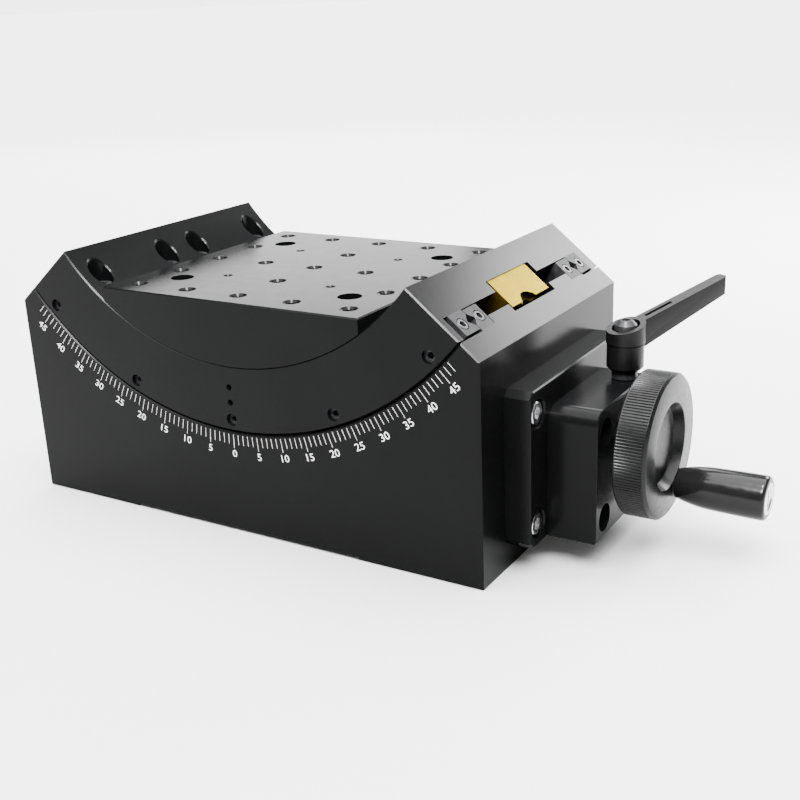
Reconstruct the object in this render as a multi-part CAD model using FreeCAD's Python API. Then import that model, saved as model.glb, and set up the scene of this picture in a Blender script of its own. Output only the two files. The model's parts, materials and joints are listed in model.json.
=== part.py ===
"""Cradle goniometer with a worm drive, crossed-roller arc rails and a clamping lever.

Units are millimetres. X runs to the handwheel, Y from front to back, Z up.
The origin is the middle of the underside of the base. The cradle tilts about
an axis along Y that lies above the stage. Angles round that axis are measured
from straight down, positive towards +X.
"""

import FreeCAD, Part
import math
import os

V = FreeCAD.Vector
X_DIR = V(1, 0, 0)
Y_DIR = V(0, 1, 0)
Z_DIR = V(0, 0, 1)
DOWN = V(0, 0, -1)

# Overall sizes. The base is as wide as the trough and its shoulders need.
stage_depth = 120.0
cradle_outer_r = 128.4
floor_thickness = 42.6
shoulder_wall = 9.675
end_angle = 50.8
edge_chamfer = 0.5

# Cradle and table
cradle_thickness = 25.9
rail_channel_depth = 10.0
segment_pocket_depth = 5.2
split_gap = 0.6
front_skirt = 3.5
preload_gap = 3.0
table_width = 120.0
table_rise = 25.1

# Arc rails and crossed rollers
rail_width = 9.5
rail_height = 9.5
rail_gap = 0.4
rail_lift = 0.5
roller_dia = 4.0
roller_length = 3.8
roller_clearance = 0.03
roller_pitch_angle = 3.0
rollers_per_side = 18
cage_thickness = 0.25
cage_height = 8.0
cage_half_angle = 28.0
cage_window_clearance = 0.2

# Base trough
island_gap = 0.4
island_drop = 6.5
segment_side_gap = 2.0
base_relief_depth = 1.0
base_relief_margin = 52.0
trough_end_margin = 4.0

# Worm drive: teeth of the full wheel, depth of its pitch circle in the cradle, worm size
wheel_teeth = 180
pitch_circle_depth = 4.65
worm_pitch_r = 6.75
worm_turns = 8
pressure_angle = 20.0
root_factor = 1.25
backlash = 0.24
slot_skew = 1.15
segment_width = 31.0
segment_depth = 13.2
segment_end_setback = 0.25
slot_root_clearance = 0.4

# Shaft and its bearings
shaft_journal_dia = 8.0
shaft_shoulder_dia = 11.0
worm_core_half = 20.0
shaft_left_end = 50.0
shaft_end_in_wheel = 5.5
bearing_bore = shaft_journal_dia
bearing_dia = 19.0
bearing_width = 6.0
bearing_ring_wall = 1.6
bearing_shield = 0.6
bearing_shield_gap = 0.08
bearing_spacer = 1.5
running_clearance = 0.05

# Flange plate on the right side of the base
flange_thickness = 10.0
flange_depth = 85.0
flange_drop = 30.9
flange_height = 59.2
flange_corner = 2.5
spigot_dia = 28.0
spigot_length = 8.0
spigot_lip = 1.5
spigot_bore = 16.0
ring_nut_dia = 23.0
ring_nut_bore = 15.0
ring_nut_width = 3.0
shaft_nut_dia = 13.0
shaft_nut_width = 4.0
shaft_nut_notch = 2.4
shaft_nut_notch_depth = 0.9
spanner_slot = 2.0
spanner_slot_depth = 1.5
flange_screw_y = 35.7
flange_screw_margin_low = 8.0
flange_screw_margin_high = 9.1
flange_screw_length = 20.0
flange_counterbore_dia = 10.0
flange_counterbore_lead = 0.6

# Split clamp block
clamp_thickness = 18.5
clamp_depth = 55.6
clamp_drop = 30.7
clamp_height = 49.4
clamp_corner_r = 6.0
clamp_slit = 1.2
clamp_screw_y = 19.5
clamp_screw_margin_low = 7.45
clamp_screw_margin_high = 9.2
clamp_screw_length = 15.0
clamp_counterbore_dia = 10.5
clamp_counterbore_depth = 12.0
clamp_pocket_dia = 15.0
clamp_pocket_depth = 2.0

# Handwheel and handle
wheel_dia = 54.0
wheel_width = 12.0
wheel_gap = 5.0
wheel_edge = 0.5
wheel_hub_dia = 18.0
wheel_hub_reach = 3.5
wheel_back_depth = 4.5
wheel_rim_wall = 5.5
wheel_set_screw_dia = 4.0
wheel_set_screw_key = 2.0
dish_dia = 32.4
dish_depth = 4.0
dish_slope = 1.4
dish_corner = 1.0
handle_circle_r = 20.9
handle_angle = -60.0
grip_root_dia = 11.6
grip_dia = 16.6
grip_length = 33.6
grip_corner = 1.6
grip_foot_edge = 0.3
grip_swell_length = 13.0
grip_swell_share = 0.58
grip_barrel_rise = 0.35
grip_foot_gap = 0.2
spindle_dia = 7.0
spindle_thread_dia = 6.0
spindle_head_dia = 12.5
spindle_head_height = 2.0
spindle_head_ring = 1.6
spindle_head_sink = 0.4
spindle_slot_width = 1.2
spindle_slot_length = 6.4
spindle_thread_length = 6.0

# Clamping lever
lever_reach = 12.0
lever_y = 15.0
lever_heading = 60.0
lever_foot_dia = 9.7
lever_foot_height = 3.2
lever_hub_dia = 14.5
lever_hub_height = 16.9
lever_skirt_height = 10.1
lever_groove = 0.5
lever_hub_round = 1.4
lever_tip_corner = 1.0
lever_skirt_inset = 0.35
lever_arm_length = 47.0
lever_arm_root_width = 6.0
lever_arm_tip_width = 5.2
lever_arm_root_depth = 11.0
lever_arm_tip_depth = 7.0
lever_rise = 14.7
lever_slot_start = 2.0
lever_slot_length = 13.0
lever_slot_width = 1.6
lever_slot_depth = 1.0
lever_stud_dia = 5.0
lever_stud_length = 35.0
serration_count = 18
serration_outer_dia = 9.2
serration_tooth = 0.5
serration_height = 3.2
lever_lift = 3.5
lever_web = 2.0
lever_web_drop = 1.2
lever_neck_dia = 4.9
lever_neck_gap = 0.1
serration_gap = 0.3
serration_clearance = 0.1
spring_dia = 7.6
spring_wire = 0.8
spring_turns = 2.5
spring_height = 7.7
lever_screw_dia = 4.0
lever_screw_head_dia = 8.4
lever_screw_head_height = 3.6
lever_screw_length = 7.5
lever_screw_bevel = 1.7
lever_screw_key = 3.0
lever_screw_key_depth = 1.8
lever_chamber_dia = 10.4

# Table holes
grid_pitch = 25.0
grid_count = 5
tap_dia = 5.0
tap_depth = 10.0
tap_chamfer = 1.0
small_tap_dia = 3.0
small_tap_depth = 8.0
small_tap_chamfer = 0.5
table_screw_inset_x = 19.5
table_screw_inset_y = 25.0
table_screw_sink = 4.0
table_screw_length = 20.0

# Screw positions on the arcs
arc_screw_angle = 43.6
arc_screw_columns = 6
rail_screw_offset = 6.0
segment_screw_y = 10.0
arc_screw_length = 18.0
arc_screw_drill = 8.0
arc_counterbore_lead = 0.5
inner_rail_screw_angles = (-40.0, -20.0, 0.0, 20.0, 40.0)
inner_rail_screw_length = 14.0
preload_angles = (-45.0, -22.5, 0.0, 22.5, 45.0)
preload_screw_inset = 4.4
preload_sink = 1.8
preload_key = 2.5
pointer_hole_insets = (17.6, 11.4)
pointer_hole_dia = 2.5
pointer_hole_depth = 6.0
end_screw_head_dia = 5.0
end_screw_head_height = 1.8
end_screw_round = 0.4
end_screw_dia = 3.0
end_screw_length = 6.0
end_screw_key = 2.5
end_screw_key_depth = 1.4
end_screw_clearance = 0.1

# Base fixing holes
base_tap_dia = 6.8
base_tap_depth = 14.0
base_tap_x = 87.5
base_tap_y = 37.5

# Metric socket screws: thread, head diameter, head height, key size
M3 = {"thread": 3.0, "head": 5.5, "height": 3.0, "key": 2.5}
M5 = {"thread": 5.0, "head": 8.5, "height": 5.0, "key": 4.0}
screw_hole_clearance = 0.5
counterbore_clearance = 0.45
counterbore_reach = 30.0
head_sink = 0.6

# Sizes that follow from the ones above
half_depth = stage_depth / 2
axis_height = floor_thickness + cradle_outer_r
cradle_inner_r = cradle_outer_r - cradle_thickness
rail_channel_r = cradle_outer_r - rail_channel_depth
segment_pocket_r = rail_channel_r - segment_pocket_depth
table_top_height = axis_height - cradle_inner_r + table_rise
half_width = (cradle_outer_r + shoulder_wall) * math.sin(math.radians(end_angle))
shoulder_height = axis_height - half_width / math.tan(math.radians(end_angle))
base_relief_half_width = half_width - base_relief_margin
trough_r = cradle_outer_r + split_gap
rail_mid_r = (rail_channel_r + cradle_outer_r) / 2
rail_line_y = half_depth - front_skirt - preload_gap - rail_width - rail_gap / 2
outer_rail_back = rail_line_y + rail_gap / 2 + rail_width
outer_rail_screw_y = rail_line_y + rail_screw_offset
inner_rail_screw_y = rail_line_y - rail_screw_offset
island_half_width = rail_line_y - rail_gap / 2 - rail_width - island_gap
island_top_r = rail_channel_r + island_drop
segment_groove_half_width = segment_width / 2 + segment_side_gap
arc_screw_x = cradle_inner_r * math.sin(math.radians(arc_screw_angle))
preload_screw_r = cradle_outer_r - preload_screw_inset
table_screw_x = table_width / 2 - table_screw_inset_x
table_screw_y = half_depth - table_screw_inset_y
wheel_pitch_r = cradle_outer_r - pitch_circle_depth
gear_module = 2 * wheel_pitch_r / wheel_teeth
worm_distance = wheel_pitch_r + worm_pitch_r
worm_height = axis_height - worm_distance
worm_pitch = math.pi * gear_module
worm_tip_r = worm_pitch_r + gear_module
worm_root_r = worm_pitch_r - root_factor * gear_module
tooth_angle = 360.0 / wheel_teeth
lead_angle = math.degrees(math.atan(worm_pitch / (2 * math.pi * worm_pitch_r)))
flange_face = half_width + flange_thickness
flange_bottom = worm_height - flange_drop
clamp_bottom = worm_height - clamp_drop
clamp_face = flange_face + clamp_thickness
clamp_top = clamp_bottom + clamp_height
wheel_back = clamp_face + wheel_gap
wheel_face = wheel_back + wheel_width
shaft_right_end = wheel_back + shaft_end_in_wheel
bearing_start = half_width - spigot_length + spigot_lip
handle_y = handle_circle_r * math.cos(math.radians(handle_angle))
handle_z = worm_height + handle_circle_r * math.sin(math.radians(handle_angle))
nut_start = bearing_start + 2 * bearing_width + bearing_spacer
set_screw_x = wheel_back - wheel_hub_reach / 2
lever_x = flange_face + lever_reach
lever_foot = V(lever_x, lever_y, clamp_top)
serration_start = lever_foot_height + serration_gap
serration_top = serration_start + serration_height
web_bottom = serration_top + lever_lift - lever_web_drop
web_top = web_bottom + lever_web
screw_seat = web_top + spring_height


def polar(radius, angle, y=0.0):
    """Point at a radius and an angle round the tilt axis."""
    a = math.radians(angle)
    return V(radius * math.sin(a), y, axis_height - radius * math.cos(a))


def out_of_axis(angle):
    """Unit vector that points away from the tilt axis."""
    a = math.radians(angle)
    return V(math.sin(a), 0, -math.cos(a))


def box(x, y, z):
    """Box from three (low, high) pairs."""
    return Part.makeBox(x[1] - x[0], y[1] - y[0], z[1] - z[0], V(x[0], y[0], z[0]))


def rod(dia, start, direction, length):
    """Cylinder by diameter."""
    return Part.makeCylinder(dia / 2, length, start, direction)


def tangent_at(angle):
    """Unit vector round the tilt axis, towards growing angle."""
    a = math.radians(angle)
    return V(math.cos(a), 0, math.sin(a))


def polygon_face(points):
    return Part.Face(Part.makePolygon(points + [points[0]]))


def arc_sweep(section, half_angle):
    """Sweep a (y, radius) outline round the tilt axis, symmetric about straight down."""
    face = polygon_face([polar(r, half_angle, y) for y, r in section])
    return face.revolve(V(0, 0, axis_height), Y_DIR, 2 * half_angle)


def turned(profile, origin, direction=X_DIR):
    """Revolve a closed (along, radius) outline about a line."""
    face = polygon_face([V(r, 0, s) for s, r in profile])
    solid = face.revolve(V(0, 0, 0), Z_DIR, 360)
    solid.Placement = FreeCAD.Placement(origin, FreeCAD.Rotation(Z_DIR, direction))
    return solid


def tube(outer, inner, origin, direction, length):
    """Ring by its two diameters."""
    r = inner / 2
    outline = [(0, r), (length, r), (length, outer / 2), (0, outer / 2)]
    return turned(outline, origin, direction)


def hexagon(across_flats, origin, direction, depth):
    """Hexagonal key recess."""
    r = across_flats / 2 / math.cos(math.radians(30))
    turns = [math.radians(60 * i) for i in range(6)]
    points = [V(r * math.cos(a), r * math.sin(a), 0) for a in turns]
    solid = polygon_face(points).extrude(V(0, 0, depth))
    solid.Placement = FreeCAD.Placement(origin, FreeCAD.Rotation(Z_DIR, direction))
    return solid


def socket_screw(size, seat, drive, length):
    """Socket head screw. The head sits on seat and drive points out of its head."""
    r = size["head"] / 2
    rim = 0.1 * r
    t = size["thread"] / 2
    top = size["height"]
    outline = [(-length, 0), (-length, t), (0, t), (0, r), (top - rim, r), (top, r - rim), (top, 0)]
    body = turned(outline, seat, drive)
    key_depth = size["height"] / 2
    return body.cut(hexagon(size["key"], seat + drive * (top - key_depth), drive, key_depth))


def counterbore(size, seat, drive):
    """Cutter for the head recess of a screw, open well beyond the head."""
    return rod(size["head"] + 2 * counterbore_clearance, seat, drive, counterbore_reach)


def screw_hole(size, seat, drive, length):
    """Cutter for a socket screw: tapped shank and head recess."""
    shank = rod(size["thread"], seat - drive * length, drive, length)
    return shank.fuse(counterbore(size, seat, drive))


def lead_cone(dia, lead, mouth, drive):
    """Cutter for the chamfer round the mouth of a hole."""
    r = dia / 2
    outline = [(-lead, 0), (-lead, r), (lead, r + 2 * lead), (lead, 0)]
    return turned(outline, mouth, drive)


def passing_hole(size, start, drive, length):
    """Cutter for the clear hole of a screw."""
    return rod(size["thread"] + screw_hole_clearance, start, drive, length)


def edges_at(shape, test):
    """Edges with both ends and the middle passing a test."""
    found = []
    for edge in shape.Edges:
        mid = edge.valueAt((edge.FirstParameter + edge.LastParameter) / 2)
        if all(test(p) for p in [v.Point for v in edge.Vertexes] + [mid]):
            found.append(edge)
    return found


def on_faces(p):
    """On the front or the back face."""
    return abs(abs(p.y) - half_depth) < 0.001


def arc_columns():
    """X places of the screws through the cradle's inner arc."""
    step = 2 * arc_screw_x / (arc_screw_columns - 1)
    return [-arc_screw_x + step * i for i in range(arc_screw_columns)]


def arc_screw_seat(x, y):
    """Seat of a vertical screw, deep enough to hide its head below the arc."""
    inner = abs(x) - M5["head"] / 2 - counterbore_clearance
    low = axis_height - math.sqrt(cradle_inner_r ** 2 - inner ** 2)
    if inner < 0:
        low = axis_height - cradle_inner_r
    return V(x, y, low - M5["height"] - head_sink)


def arc_screws(y):
    """Seats of the two rows of screws at this distance either side of the middle."""
    return [arc_screw_seat(x, s * y) for x in arc_columns() for s in (-1, 1)]


def inner_rail_seat(angle, side):
    """Seat of a radial screw in an inner rail."""
    radius = rail_channel_r + rail_lift + M3["height"] + head_sink
    return polar(radius, angle, side * inner_rail_screw_y)


def flange_seats():
    """Screw seats in the flange plate."""
    x = flange_face - M5["height"] - head_sink
    low = flange_bottom + flange_screw_margin_low
    high = flange_bottom + flange_height - flange_screw_margin_high
    return [V(x, s * flange_screw_y, z) for s in (-1, 1) for z in (low, high)]


def clamp_seats():
    """Screw seats in the clamp block. The jaw above the slit at the back stays free."""
    x = clamp_face - clamp_counterbore_depth
    low = clamp_bottom + clamp_screw_margin_low
    high = clamp_top - clamp_screw_margin_high
    return [V(x, -clamp_screw_y, low), V(x, clamp_screw_y, low), V(x, -clamp_screw_y, high)]


def table_seats():
    """Screw seats in the table."""
    z = table_top_height - M5["height"] - table_screw_sink
    return [V(i * table_screw_x, j * table_screw_y, z) for i in (-1, 1) for j in (-1, 1)]


def base():
    """Block with the stepped round trough, the worm bore and the fixing holes."""
    inside = rail_channel_r
    clear = cradle_inner_r / 2
    outline = [V(-half_width, -half_depth, 0), V(half_width, -half_depth, 0)]
    outline += [V(half_width, -half_depth, shoulder_height), polar(inside, end_angle, -half_depth)]
    outline += [polar(inside, -end_angle, -half_depth), V(-half_width, -half_depth, shoulder_height)]
    block = polygon_face(outline).extrude(V(0, stage_depth, 0))
    beyond = half_depth + 1
    half = [(segment_groove_half_width, cradle_outer_r), (segment_groove_half_width, island_top_r)]
    half += [(island_half_width, island_top_r), (island_half_width, cradle_outer_r)]
    half += [(rail_line_y, cradle_outer_r), (rail_line_y, trough_r), (beyond, trough_r), (beyond, clear)]
    trough = arc_sweep(half + [(-y, r) for y, r in reversed(half)], end_angle + trough_end_margin)
    body = block.cut(trough)
    rim = edges_at(body, on_faces)
    body = body.makeChamfer(edge_chamfer, rim)
    across = (-base_relief_half_width, base_relief_half_width)
    cutters = [box(across, (-beyond, beyond), (0, base_relief_depth))]
    bore_end = V(-shaft_left_end, 0, worm_height)
    cutters.append(rod(bearing_dia, bore_end, X_DIR, half_width + shaft_left_end))
    spigot_end = V(half_width - spigot_length, 0, worm_height)
    cutters.append(rod(spigot_dia, spigot_end, X_DIR, spigot_length))
    for seat in flange_seats():
        cutters.append(rod(M5["thread"], seat, -X_DIR, flange_screw_length))
    for side in (-1, 1):
        for angle in inner_rail_screw_angles:
            seat = inner_rail_seat(angle, side)
            cutters.append(rod(M3["thread"], seat, out_of_axis(angle), inner_rail_screw_length))
    for x in (-base_tap_x, base_tap_x):
        for y in (-base_tap_y, base_tap_y):
            cutters.append(rod(base_tap_dia, V(x, y, 0), Z_DIR, base_tap_depth))
    return body.cut(cutters)


def rail_section(inner_side):
    """(y, radius) outline of a rail with a V groove, on the back side of the stage."""
    groove = (roller_dia + 2 * roller_clearance) / math.sqrt(2)
    depth = groove - rail_gap / 2
    face = -rail_gap / 2 if inner_side else rail_gap / 2
    sign = -1 if inner_side else 1
    low = rail_channel_r + (rail_lift if inner_side else 0)
    high = low + rail_height
    y_face = rail_line_y + face
    y_back = y_face + sign * rail_width
    groove_points = [(y_face, rail_mid_r + depth), (y_face + sign * depth, rail_mid_r)]
    groove_points.append((y_face, rail_mid_r - depth))
    return [(y_back, low), (y_back, high), (y_face, high)] + groove_points + [(y_face, low)]


def end_screw(y, side_end):
    """Low round head of the end stop screw in a rail end, with its short thread."""
    outward = tangent_at(side_end * end_angle) * side_end
    face = polar(rail_mid_r, side_end * end_angle, y)
    r = end_screw_head_dia / 2
    t = end_screw_dia / 2
    under = -end_screw_head_height
    outline = [(-end_screw_length, 0), (-end_screw_length, t), (under, t), (under, r)]
    outline += [(-end_screw_round, r), (0, r - end_screw_round), (0, 0)]
    key = hexagon(end_screw_key, face - outward * end_screw_key_depth, outward, end_screw_key_depth)
    return turned(outline, face, outward).cut(key)


def end_screw_seat(y, side_end):
    """Recess for an end stop screw."""
    outward = tangent_at(side_end * end_angle) * side_end
    face = polar(rail_mid_r, side_end * end_angle, y)
    under = face - outward * end_screw_head_height
    recess = rod(end_screw_head_dia + 2 * end_screw_clearance, under, outward, 2 * end_screw_head_height)
    shank = rod(end_screw_dia, face - outward * end_screw_length, outward, end_screw_length)
    return recess.fuse(shank)


def rail(inner_side, side):
    """Arc rail. side is -1 at the front and 1 at the back."""
    section = [(side * y, r) for y, r in rail_section(inner_side)]
    body = arc_sweep(section, end_angle)
    cutters = []
    if inner_side:
        for angle in inner_rail_screw_angles:
            seat = inner_rail_seat(angle, side)
            inward = out_of_axis(angle) * -1
            cutters.append(screw_hole(M3, seat, inward, inner_rail_screw_length))
    else:
        for seat in arc_screws(outer_rail_screw_y):
            if seat.y * side > 0:
                cutters.append(rod(M5["thread"], seat, DOWN, arc_screw_length))
    end_y = side * (inner_rail_screw_y if inner_side else outer_rail_screw_y)
    for side_end in (-1, 1):
        cutters.append(end_screw_seat(end_y, side_end))
    return body.cut(cutters)


def rail_end_screws(inner_side):
    end_y = inner_rail_screw_y if inner_side else outer_rail_screw_y
    return [end_screw(s * end_y, e) for s in (-1, 1) for e in (-1, 1)]


def inner_rail_screws():
    screws = []
    for side in (-1, 1):
        for angle in inner_rail_screw_angles:
            inward = out_of_axis(angle) * -1
            screws.append(socket_screw(M3, inner_rail_seat(angle, side), inward, inner_rail_screw_length))
    return screws


def roller_angles():
    first = -roller_pitch_angle * (rollers_per_side - 1) / 2
    return [first + roller_pitch_angle * i for i in range(rollers_per_side)]


def crossed_rollers():
    """Rollers whose axes alternate between the two diagonals of the V grooves."""
    rollers = []
    for side in (-1, 1):
        for i, angle in enumerate(roller_angles()):
            tilt = 1 if i % 2 == 0 else -1
            axis = (out_of_axis(angle) * tilt + Y_DIR) * (1 / math.sqrt(2))
            middle = polar(rail_mid_r, angle, side * rail_line_y)
            rollers.append(rod(roller_dia, middle - axis * (roller_length / 2), axis, roller_length))
    return rollers


def roller_cages():
    """Thin arc strips with a window for each roller."""
    cages = []
    low = rail_mid_r - cage_height / 2
    high = rail_mid_r + cage_height / 2
    for side in (-1, 1):
        y0 = side * rail_line_y - cage_thickness / 2
        y1 = side * rail_line_y + cage_thickness / 2
        strip = arc_sweep([(y0, low), (y1, low), (y1, high), (y0, high)], cage_half_angle)
        width = roller_dia + 2 * cage_window_clearance
        height = roller_dia * math.sqrt(2) + 2 * cage_window_clearance
        windows = []
        for angle in roller_angles():
            window = box((-width / 2, width / 2), (y0 - 1, y1 + 1), (-height / 2, height / 2))
            turn = FreeCAD.Rotation(Y_DIR, -angle)
            window.Placement = FreeCAD.Placement(polar(rail_mid_r, angle), turn)
            windows.append(window)
        cages.append(strip.cut(windows))
    return cages


def cradle():
    """Arc body with skirts over the rails and a pocket for the worm segment."""
    back = [(half_depth, cradle_inner_r), (half_depth, cradle_outer_r), (outer_rail_back, cradle_outer_r)]
    back += [(outer_rail_back, rail_channel_r), (segment_groove_half_width, rail_channel_r)]
    back.append((segment_groove_half_width, segment_pocket_r))
    skirt = half_depth - front_skirt
    front = [(-segment_groove_half_width, segment_pocket_r), (-segment_groove_half_width, rail_channel_r)]
    front += [(-skirt, rail_channel_r), (-skirt, cradle_outer_r), (-half_depth, cradle_outer_r)]
    front.append((-half_depth, cradle_inner_r))
    body = arc_sweep(back + front, end_angle)
    body = body.makeChamfer(edge_chamfer, edges_at(body, on_faces))
    cutters = []
    for seat in arc_screws(outer_rail_screw_y) + arc_screws(segment_screw_y):
        cutters.append(passing_hole(M5, seat, DOWN, arc_screw_length + arc_screw_drill))
        cutters.append(counterbore(M5, seat, Z_DIR))
    for seat in table_seats():
        cutters.append(rod(M5["thread"], seat, DOWN, table_screw_length + 1))
    for angle in preload_angles:
        start = polar(preload_screw_r, angle, -half_depth - 1)
        cutters.append(rod(M5["thread"], start, Y_DIR, front_skirt + 2))
    for inset in pointer_hole_insets:
        start = polar(cradle_outer_r - inset, 0, -half_depth)
        cutters.append(rod(pointer_hole_dia, start, Y_DIR, pointer_hole_depth))
    body = body.cut(cutters)

    def open_rim(p):
        off_axis = math.hypot(p.x, p.z - axis_height)
        at_hole = abs(abs(p.x) - arc_screw_x) < M5["head"]
        return at_hole and abs(off_axis - cradle_inner_r) < 0.01 and abs(p.y) < half_depth - edge_chamfer - 0.1

    return body.makeChamfer(arc_counterbore_lead, edges_at(body, open_rim))


def preload_screws():
    """Cup-point set screws that press the front outer rail."""
    screws = []
    length = front_skirt + preload_gap - preload_sink
    for angle in preload_angles:
        start = polar(preload_screw_r, angle, preload_sink - half_depth)
        body = rod(M5["thread"], start, Y_DIR, length)
        screws.append(body.cut(hexagon(preload_key, start, Y_DIR, length / 2)))
    return screws


def table():
    """Block with a flat top, a round underside and a grid of tapped holes."""
    half = table_width / 2
    height = (axis_height - cradle_inner_r - 1, table_top_height)
    block = box((-half, half), (-half_depth, half_depth), height)
    body = block.common(rod(2 * cradle_inner_r, V(0, -half_depth, axis_height), Y_DIR, stage_depth))
    top_edges = edges_at(body, lambda p: abs(p.z - table_top_height) < 0.001)
    body = body.makeChamfer(edge_chamfer, top_edges)
    top = V(0, 0, table_top_height)
    middle = (grid_count - 1) / 2
    cutters = []
    for i in range(grid_count):
        for j in range(grid_count):
            spot = top + V((i - middle) * grid_pitch, (j - middle) * grid_pitch, 0)
            small = abs(i - middle) == 1 and abs(j - middle) == 1
            dia, depth, lead = (tap_dia, tap_depth, tap_chamfer)
            if small:
                dia, depth, lead = (small_tap_dia, small_tap_depth, small_tap_chamfer)
            r = dia / 2
            outline = [(-depth, 0), (-depth, r), (-lead, r), (0, r + lead), (0, 0)]
            cutters.append(turned(outline, spot, Z_DIR))
    for seat in table_seats():
        cutters.append(passing_hole(M5, seat, DOWN, table_screw_length))
        cutters.append(counterbore(M5, seat, Z_DIR))
    return body.cut(cutters)


def thread_half_width(radius):
    """Half the axial thickness of the worm thread at a radius."""
    slope = math.tan(math.radians(pressure_angle))
    return worm_pitch / 4 - (radius - worm_pitch_r) * slope


def worm_slot():
    """Ring that cuts one tooth space. It leans a little more than the lead, to follow the helix
    across the throat."""
    low = worm_root_r - slot_root_clearance
    high = worm_tip_r + (root_factor - 1) * gear_module
    wide = thread_half_width(low) + backlash
    narrow = thread_half_width(high) + backlash
    outline = [(-wide, low), (-narrow, high), (narrow, high), (wide, low)]
    ring = turned(outline, V(0, 0, worm_height), X_DIR)
    ring.rotate(V(0, 0, worm_height), Z_DIR, slot_skew * lead_angle)
    return ring


def worm_segment():
    """Brass segment of the worm wheel with a throat and skew tooth spaces."""
    half = segment_width / 2
    outer_r = segment_pocket_r + segment_depth
    half_angle = end_angle - segment_end_setback
    inner_r = segment_pocket_r
    section = [(-half, inner_r), (half, inner_r), (half, outer_r), (-half, outer_r)]
    body = arc_sweep(section, half_angle)
    throat_r = worm_pitch_r - gear_module
    beyond = half_angle + 2
    circle = Part.makeCircle(throat_r, polar(worm_distance, beyond), tangent_at(beyond))
    throat = Part.Face(Part.Wire(circle)).revolve(V(0, 0, axis_height), Y_DIR, 2 * beyond)
    body = body.cut(throat)
    count = int(half_angle / tooth_angle)
    slot = worm_slot()
    cutters = []
    for k in range(-count, count + 1):
        ring = slot.copy()
        ring.rotate(V(0, 0, axis_height), Y_DIR, -k * tooth_angle)
        cutters.append(ring)
    for seat in arc_screws(segment_screw_y):
        cutters.append(rod(M5["thread"], seat, DOWN, arc_screw_length))
    return body.cut(cutters)


def worm_thread():
    """Right-hand helical thread, cut square at both ends, with a crest facing up at x = 0."""
    turns = worm_turns + 1
    height = turns * worm_pitch
    low = worm_root_r - slot_root_clearance / 2
    wide = thread_half_width(low)
    narrow = thread_half_width(worm_tip_r)
    outline = [V(low, 0, -wide), V(worm_tip_r, 0, -narrow)]
    outline += [V(worm_tip_r, 0, narrow), V(low, 0, wide)]
    helix = Part.makeHelix(worm_pitch, height, worm_pitch_r)
    profile = Part.makePolygon(outline + [outline[0]])
    thread = Part.Wire(helix.Edges).makePipeShell([profile], True, True)
    shift = turns // 2 * worm_pitch
    thread.translate(V(0, 0, -shift))
    thread.rotate(V(0, 0, 0), Y_DIR, -90)
    thread.translate(V(0, 0, worm_height))
    half = worm_turns * worm_pitch / 2
    window = rod(4 * worm_tip_r, V(-half, 0, worm_height), X_DIR, 2 * half)
    return thread.common(window)


def worm_shaft():
    """Shaft with the worm thread, two shoulders and a long journal."""
    journal = shaft_journal_dia / 2
    shoulder = shaft_shoulder_dia / 2
    left = -shaft_left_end + bearing_width
    profile = [(-shaft_left_end, 0), (-shaft_left_end, journal), (left, journal), (left, shoulder)]
    profile += [(-worm_core_half, shoulder), (-worm_core_half, worm_root_r), (worm_core_half, worm_root_r)]
    profile += [(worm_core_half, shoulder), (bearing_start, shoulder), (bearing_start, journal)]
    profile += [(shaft_right_end, journal), (shaft_right_end, 0)]
    core = turned(profile, V(0, 0, worm_height))
    return core.fuse(worm_thread()).removeSplitter()


def bearing_places():
    """Left face of each bearing along the shaft."""
    return [-shaft_left_end, bearing_start, bearing_start + bearing_width + bearing_spacer]


def worm_bearings():
    """Outer rings with their shields, and the spacer between the right pair."""
    outer = bearing_dia / 2
    wall = outer - bearing_ring_wall
    inner_ring = bearing_bore / 2 + bearing_ring_wall
    shield = inner_ring + bearing_shield_gap
    rings = []
    for x in bearing_places():
        near = bearing_shield
        far = bearing_width - bearing_shield
        profile = [(0, shield), (near, shield), (near, wall), (far, wall), (far, shield)]
        profile += [(bearing_width, shield), (bearing_width, outer), (0, outer)]
        rings.append(turned(profile, V(x, 0, worm_height)))
    x = bearing_start + bearing_width
    rings.append(tube(bearing_dia, 2 * wall, V(x, 0, worm_height), X_DIR, bearing_spacer))
    return rings


def bearing_inner_rings():
    """Inner rings and the spacer between the right pair."""
    dia = bearing_bore + 2 * bearing_ring_wall
    rings = []
    for x in bearing_places():
        rings.append(tube(dia, bearing_bore, V(x, 0, worm_height), X_DIR, bearing_width))
    x = bearing_start + bearing_width
    rings.append(tube(dia, bearing_bore, V(x, 0, worm_height), X_DIR, bearing_spacer))
    return rings


def bearing_nut():
    """Ring nut with two spanner slots."""
    ring = tube(ring_nut_dia, ring_nut_bore, V(nut_start, 0, worm_height), X_DIR, ring_nut_width)
    reach = ring_nut_dia / 2 + 1
    half = spanner_slot / 2
    along = (nut_start + ring_nut_width - spanner_slot_depth, nut_start + ring_nut_width + 1)
    return ring.cut(box(along, (-reach, reach), (worm_height - half, worm_height + half)))


def shaft_nut():
    """Lock nut with four spanner notches, on the shaft thread."""
    ring = tube(shaft_nut_dia, shaft_journal_dia, V(nut_start, 0, worm_height), X_DIR, shaft_nut_width)
    notch = shaft_nut_notch / 2
    x = (nut_start + spanner_slot_depth, nut_start + shaft_nut_width + 1)
    far = worm_height + shaft_nut_dia / 2 + 1
    near = worm_height + shaft_nut_dia / 2 - shaft_nut_notch_depth
    notches = []
    for quarter in range(4):
        cut = box(x, (-notch, notch), (near, far))
        cut.rotate(V(0, 0, worm_height), X_DIR, 90 * quarter)
        notches.append(cut)
    return ring.cut(notches)


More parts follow.
